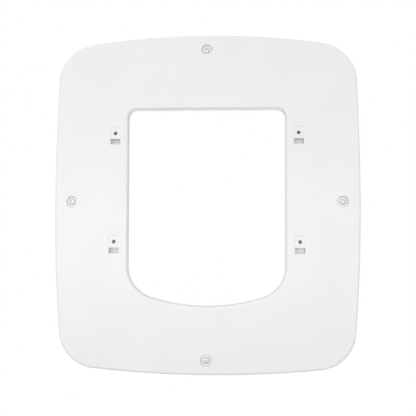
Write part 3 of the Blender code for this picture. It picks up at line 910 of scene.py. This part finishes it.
def smooth_step(value):
    value = min(1.0, max(0.0, value))
    return value * value * (3 - 2 * value)


def head_height(across, up):
    """Height of a pan head above its seat, with a tapered cross recess."""
    r = math.hypot(across, up)
    share = min(1.0, r / HEAD_RADIUS)
    dome = HEAD_HEIGHT * (1 - share**HEAD_SQUARENESS) ** (1 / HEAD_SQUARENESS) if share < 1 else 0.0
    depth = 0.0
    for along, side in ((abs(across), abs(up)), (abs(up), abs(across))):
        width = RECESS_ARM + RECESS_ARM_SPREAD * (1 - along / RECESS_HALF)
        wall = smooth_step((width - side) / RECESS_ARM_WALL + 0.5)
        ends = smooth_step((RECESS_HALF - along) / RECESS_ARM_END)
        depth = max(depth, wall * ends)
    core = smooth_step((RECESS_CORE - r) / RECESS_CORE_WALL + 0.5)
    depth = max(depth, core * RECESS_CORE_DEPTH)
    return dome - RECESS_DEPTH * depth


def add_head(bm, seat):
    """The top of a screw's head, with close rings over the recess. Returns its outer ring."""
    centre = bm.verts.new((0.0, seat - head_height(0.0, 0.0), 0.0))
    radii = [RECESS_ZONE * i / RECESS_RINGS for i in range(1, RECESS_RINGS + 1)]
    radii += [RECESS_ZONE + (HEAD_RADIUS - RECESS_ZONE) * math.sin(math.pi / 2 * i / DOME_RINGS)
              for i in range(1, DOME_RINGS + 1)]
    previous = None
    for r in radii:
        points = circle((0.0, 0.0), r, HEAD_SIDES)
        row = [bm.verts.new((x, seat - max(THINNEST_HEAD, head_height(x, z)), z)) for x, z in points]
        if previous is None:
            for i in range(HEAD_SIDES):
                bm.faces.new((centre, row[i], row[(i + 1) % HEAD_SIDES]))
        else:
            bridge(bm, previous, row)
        previous = row
    return previous


def add_thread(bm, start, end):
    """A ridge wound round the shank, which rises from it and sinks into it again at its two ends."""
    total = int((end - start) / PITCH * THREAD_STEPS)
    foot = THREAD_ROOT - THREAD_SINK
    columns = []
    for i in range(total + 1):
        t = 2 * math.pi * i / THREAD_STEPS
        y = start + PITCH * i / THREAD_STEPS
        run = smooth_step(min(i, total - i) / (THREAD_STEPS * THREAD_RUNOUT))
        crest = foot + (THREAD_CREST - THREAD_ROOT + THREAD_SINK) * run
        column = []
        for share, radius in ((0.0, foot), (CREST_FROM, crest), (CREST_TO, crest)):
            column.append(bm.verts.new((radius * math.cos(t), y + PITCH * share, radius * math.sin(t))))
        columns.append(column)
    for i in range(total):
        a, b = columns[i], columns[i + 1]
        bm.faces.new((a[0], b[0], b[1], a[1]))
        bm.faces.new((a[1], b[1], b[2], a[2]))
        if i + THREAD_STEPS + 1 <= total:
            c, d = columns[i + THREAD_STEPS], columns[i + THREAD_STEPS + 1]
            bm.faces.new((a[2], b[2], d[0], c[0]))


def add_screw(side, place, spin):
    """A pan-head screw, made on its own axis and then turned by its spin and moved to its place."""
    low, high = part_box("clamp_screw_" + side)
    seat = low.y + HEAD_HEIGHT
    tail = high.y
    bm = bmesh.new()
    rim = add_head(bm, seat)
    profile = [(HEAD_RADIUS - HEAD_UNDERCUT, seat), (THREAD_ROOT + SHANK_CHAMFER, seat)]
    profile += [(THREAD_ROOT, seat + SHANK_CHAMFER), (THREAD_ROOT, tail - TAIL_LENGTH)]
    profile += [(THREAD_ROOT - TAIL_TAPER, tail)]
    rows = chain(bm, [rim] + rings(bm, lambda radius: circle((0.0, 0.0), radius, HEAD_SIDES), profile))
    bm.faces.new(rows[-1])
    add_thread(bm, seat + THREAD_START, tail - THREAD_STOP - PITCH)
    turned = Matrix.Translation((place[0], 0.0, place[1])) @ Matrix.Rotation(spin, 4, "Y")
    bmesh.ops.transform(bm, matrix=turned, verts=bm.verts)
    finish_mesh("pan_head_screw_" + side, bm, "screw_" + side, "plated_steel", "clamp_screw_" + side,
                sharp=50.0, weighted=False)


def add_washer(side, place):
    low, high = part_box("clamp_washer_" + side)
    radius = (high.x - low.x) / 2
    bm = bmesh.new()
    profile = quarter_round(radius, -1, low.y, 1, FASTENER_EDGE)
    profile += quarter_round(SCREW_HOLE, 1, low.y, 1, WASHER_BORE_EDGE)[::-1]
    profile += quarter_round(SCREW_HOLE, 1, high.y, -1, WASHER_BORE_EDGE)
    profile += quarter_round(radius, -1, high.y, -1, FASTENER_EDGE)[::-1]
    rows = rings(bm, lambda size: circle(place, size, WASHER_SIDES), profile)
    chain(bm, rows + rows[:1])
    finish_mesh("nylon_washer_" + side, bm, "front", "nylon", "clamp_washer_" + side)


def add_clamp_nut(side, place):
    """A hexagon nut, with its corners chamfered on both faces."""
    low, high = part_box("clamp_nut_" + side)
    mouth = HEX_NUT_BORE + NUT_CHAMFER
    bm = bmesh.new()

    def round_loop(radius):
        return circle(place, radius, HEX_NUT_SIDES)

    def chamfered(y, up):
        points = []
        for x, z in hexagon(place, HALF_HEX_NUT, HEX_NUT_SIDES):
            reach = math.hypot(x - place[0], z - place[1])
            points.append(bm.verts.new((x, y + up * (reach - HEX_NUT_FACE) * HEX_NUT_SLOPE, z)))
        return points

    profile = ((HEX_NUT_BORE, low.y + NUT_CHAMFER), (mouth, low.y), (HEX_NUT_FACE, low.y))
    rows = rings(bm, round_loop, profile)
    rows += [chamfered(low.y, 1), chamfered(high.y, -1)]
    profile = ((HEX_NUT_FACE, high.y), (mouth, high.y), (HEX_NUT_BORE, high.y - NUT_CHAMFER))
    rows += rings(bm, round_loop, profile)
    chain(bm, rows + rows[:1])
    finish_mesh("hex_nut_" + side, bm, "rear", "plated_steel", "clamp_nut_" + side, sharp=25.0)


def add_fixing_nut(corner, place):
    """A square nut, with its bore chamfered on both faces."""
    low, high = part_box("fixing_nut_" + corner)
    half = (high.x - low.x) / 2
    bm = bmesh.new()

    def square_loop(size):
        return rounded_box(place, size, -size, size, SQUARE_NUT_CORNER)

    def bore(y, up):
        return rings(bm, lambda radius: circle(place, radius, SQUARE_NUT_BORE_SIDES),
                     ((SQUARE_NUT_MOUTH, y), (SQUARE_NUT_BORE, y + up * NUT_CHAMFER)))

    front = rings(bm, square_loop, quarter_round(half, -1, low.y, 1, FASTENER_EDGE))
    front_bore = bore(low.y, 1)
    back_bore = bore(high.y, -1)
    back = rings(bm, square_loop, quarter_round(half, -1, high.y, -1, FASTENER_EDGE))
    chain(bm, front[::-1] + back)
    chain(bm, front_bore + back_bore[::-1])
    cap(bm, front[-1], [front_bore[0]])
    cap(bm, back[-1], [back_bore[0]])
    finish_mesh("square_nut_" + corner, bm, "front", "black_steel", "fixing_nut_" + corner, sharp=25.0)


build_front_frame()
build_rear_frame()
add_seal("front_foam_ring", FRONT_SEAL, "front", "front_seal")
add_seal("rear_foam_ring", REAR_SEAL, "rear", "rear_seal")
for (side, place), spin in zip(SCREW_PLACES.items(), SCREW_SPINS):
    add_screw(side, place, spin)
    add_washer(side, place)
    add_clamp_nut(side, place)
for corner, place in FIXING_PLACES.items():
    add_fixing_nut(corner, place)


# ---------------------------------------------------------------- studio

# The world's strength is WORLD_LEVEL, plus the slope times the direction that the light comes from.
WORLD_LEVEL = 0.84
WORLD_SLOPE = (-0.02, -0.12, -0.08)
WHITE = (1.0, 1.0, 1.0, 1.0)
FLOOR_Z = -0.60
FLOOR_REACH = 4.0
FLOOR_GREY = (0.52, 0.52, 0.52, 1.0)
FLOOR_ROUGHNESS = 0.9

# The camera's place from the middle of the face, along its own right, up and back, and its turns in degrees.
LENS = 43.27
SENSOR_WIDTH = 36.0
CAMERA_PLACE = (0.00142, -0.00564, 0.445)
PITCH_TURN, YAW_TURN, ROLL_TURN = -4.335, -1.922, -0.149

scene = bpy.context.scene
scene.view_settings.view_transform = "Standard"
scene.view_settings.look = "None"
scene.view_settings.exposure = 0.0
scene.view_settings.gamma = 1.0


def area_light(name, place, aim, width, height, power):
    data = bpy.data.lights.new(name, "AREA")
    data.shape = "RECTANGLE"
    data.size = width
    data.size_y = height
    data.energy = power
    lamp = bpy.data.objects.new(name, data)
    lamp.location = place
    lamp.rotation_mode = "QUATERNION"
    lamp.rotation_quaternion = (Vector(aim) - Vector(place)).to_track_quat("-Z", "Y")
    scene.collection.objects.link(lamp)


def split_camera_rays(tree, other_rays, camera_rays, output):
    """Gives camera rays a shader of their own."""
    path = tree.nodes.new("ShaderNodeLightPath")
    mix = tree.nodes.new("ShaderNodeMixShader")
    tree.links.new(path.outputs["Is Camera Ray"], mix.inputs[0])
    tree.links.new(other_rays.outputs[0], mix.inputs[1])
    tree.links.new(camera_rays.outputs[0], mix.inputs[2])
    tree.links.new(mix.outputs[0], output.inputs["Surface"])


def build_world():
    """A white backdrop for the camera, and a soft light on the object, a little stronger from the front."""
    world = bpy.data.worlds.new("studio")
    world.use_nodes = True
    scene.world = world
    tree = world.node_tree
    coords = tree.nodes.new("ShaderNodeTexCoord")
    slope = tree.nodes.new("ShaderNodeVectorMath")
    slope.operation = "DOT_PRODUCT"
    slope.inputs[1].default_value = WORLD_SLOPE
    level = tree.nodes.new("ShaderNodeMath")
    level.operation = "ADD"
    level.inputs[1].default_value = WORLD_LEVEL
    glow = tree.nodes["Background"]
    glow.inputs["Color"].default_value = WHITE
    tree.links.new(coords.outputs["Generated"], slope.inputs[0])
    tree.links.new(slope.outputs["Value"], level.inputs[0])
    tree.links.new(level.outputs["Value"], glow.inputs["Strength"])
    backdrop = tree.nodes.new("ShaderNodeBackground")
    backdrop.inputs["Color"].default_value = WHITE
    split_camera_rays(tree, glow, backdrop, tree.nodes["World Output"])


def build_floor():
    """A plain floor, white to the camera and grey in the light that it throws back."""
    mesh = bpy.data.meshes.new("floor")
    bm = bmesh.new()
    corners = ((-FLOOR_REACH, -FLOOR_REACH), (FLOOR_REACH, -FLOOR_REACH),
               (FLOOR_REACH, FLOOR_REACH), (-FLOOR_REACH, FLOOR_REACH))
    bm.faces.new([bm.verts.new((x, y, FLOOR_Z)) for x, y in corners])
    bm.to_mesh(mesh)
    bm.free()
    floor = bpy.data.objects.new("floor", mesh)
    scene.collection.objects.link(floor)
    paper = bpy.data.materials.new("studio_paper")
    paper.use_nodes = True
    tree = paper.node_tree
    shader = tree.nodes["Principled BSDF"]
    fill(shader, {"Base Color": FLOOR_GREY, "Roughness": FLOOR_ROUGHNESS})
    split_camera_rays(tree, shader, tree.nodes.new("ShaderNodeEmission"), tree.nodes["Material Output"])
    mesh.materials.append(paper)


def build_camera():
    data = bpy.data.cameras.new("camera")
    data.sensor_width = SENSOR_WIDTH
    data.lens = LENS
    camera = bpy.data.objects.new("camera", data)
    scene.collection.objects.link(camera)
    pitch, yaw, roll = (math.radians(turn) for turn in (PITCH_TURN, YAW_TURN, ROLL_TURN))
    turn = Matrix.Rotation(roll, 3, "Z") @ Matrix.Rotation(pitch, 3, "X") @ Matrix.Rotation(yaw, 3, "Y")
    to_frame = Matrix(((1, 0, 0), (0, 0, -1), (0, 1, 0)))
    camera.location = to_frame @ (turn.transposed() @ Vector(CAMERA_PLACE)) + Vector((0.0, FACE_Y, 0.0))
    camera.rotation_mode = "QUATERNION"
    camera.rotation_quaternion = (to_frame @ turn.transposed()).to_quaternion()
    scene.camera = camera


area_light("key_softbox", place=(-0.75, -1.00, 0.12), aim=(0.0, 0.0, 0.0), width=0.7, height=0.7,
           power=1.00)
area_light("front_softbox", place=(-0.05, -0.75, -0.03), aim=(-0.02, 0.0, 0.0), width=0.9, height=0.25,
           power=1.85)
area_light("low_back_light", place=(0.05, 0.75, -0.46), aim=(0.0, 0.0, 0.0), width=0.7, height=0.5,
           power=3.7)
build_world()
build_floor()
build_camera()
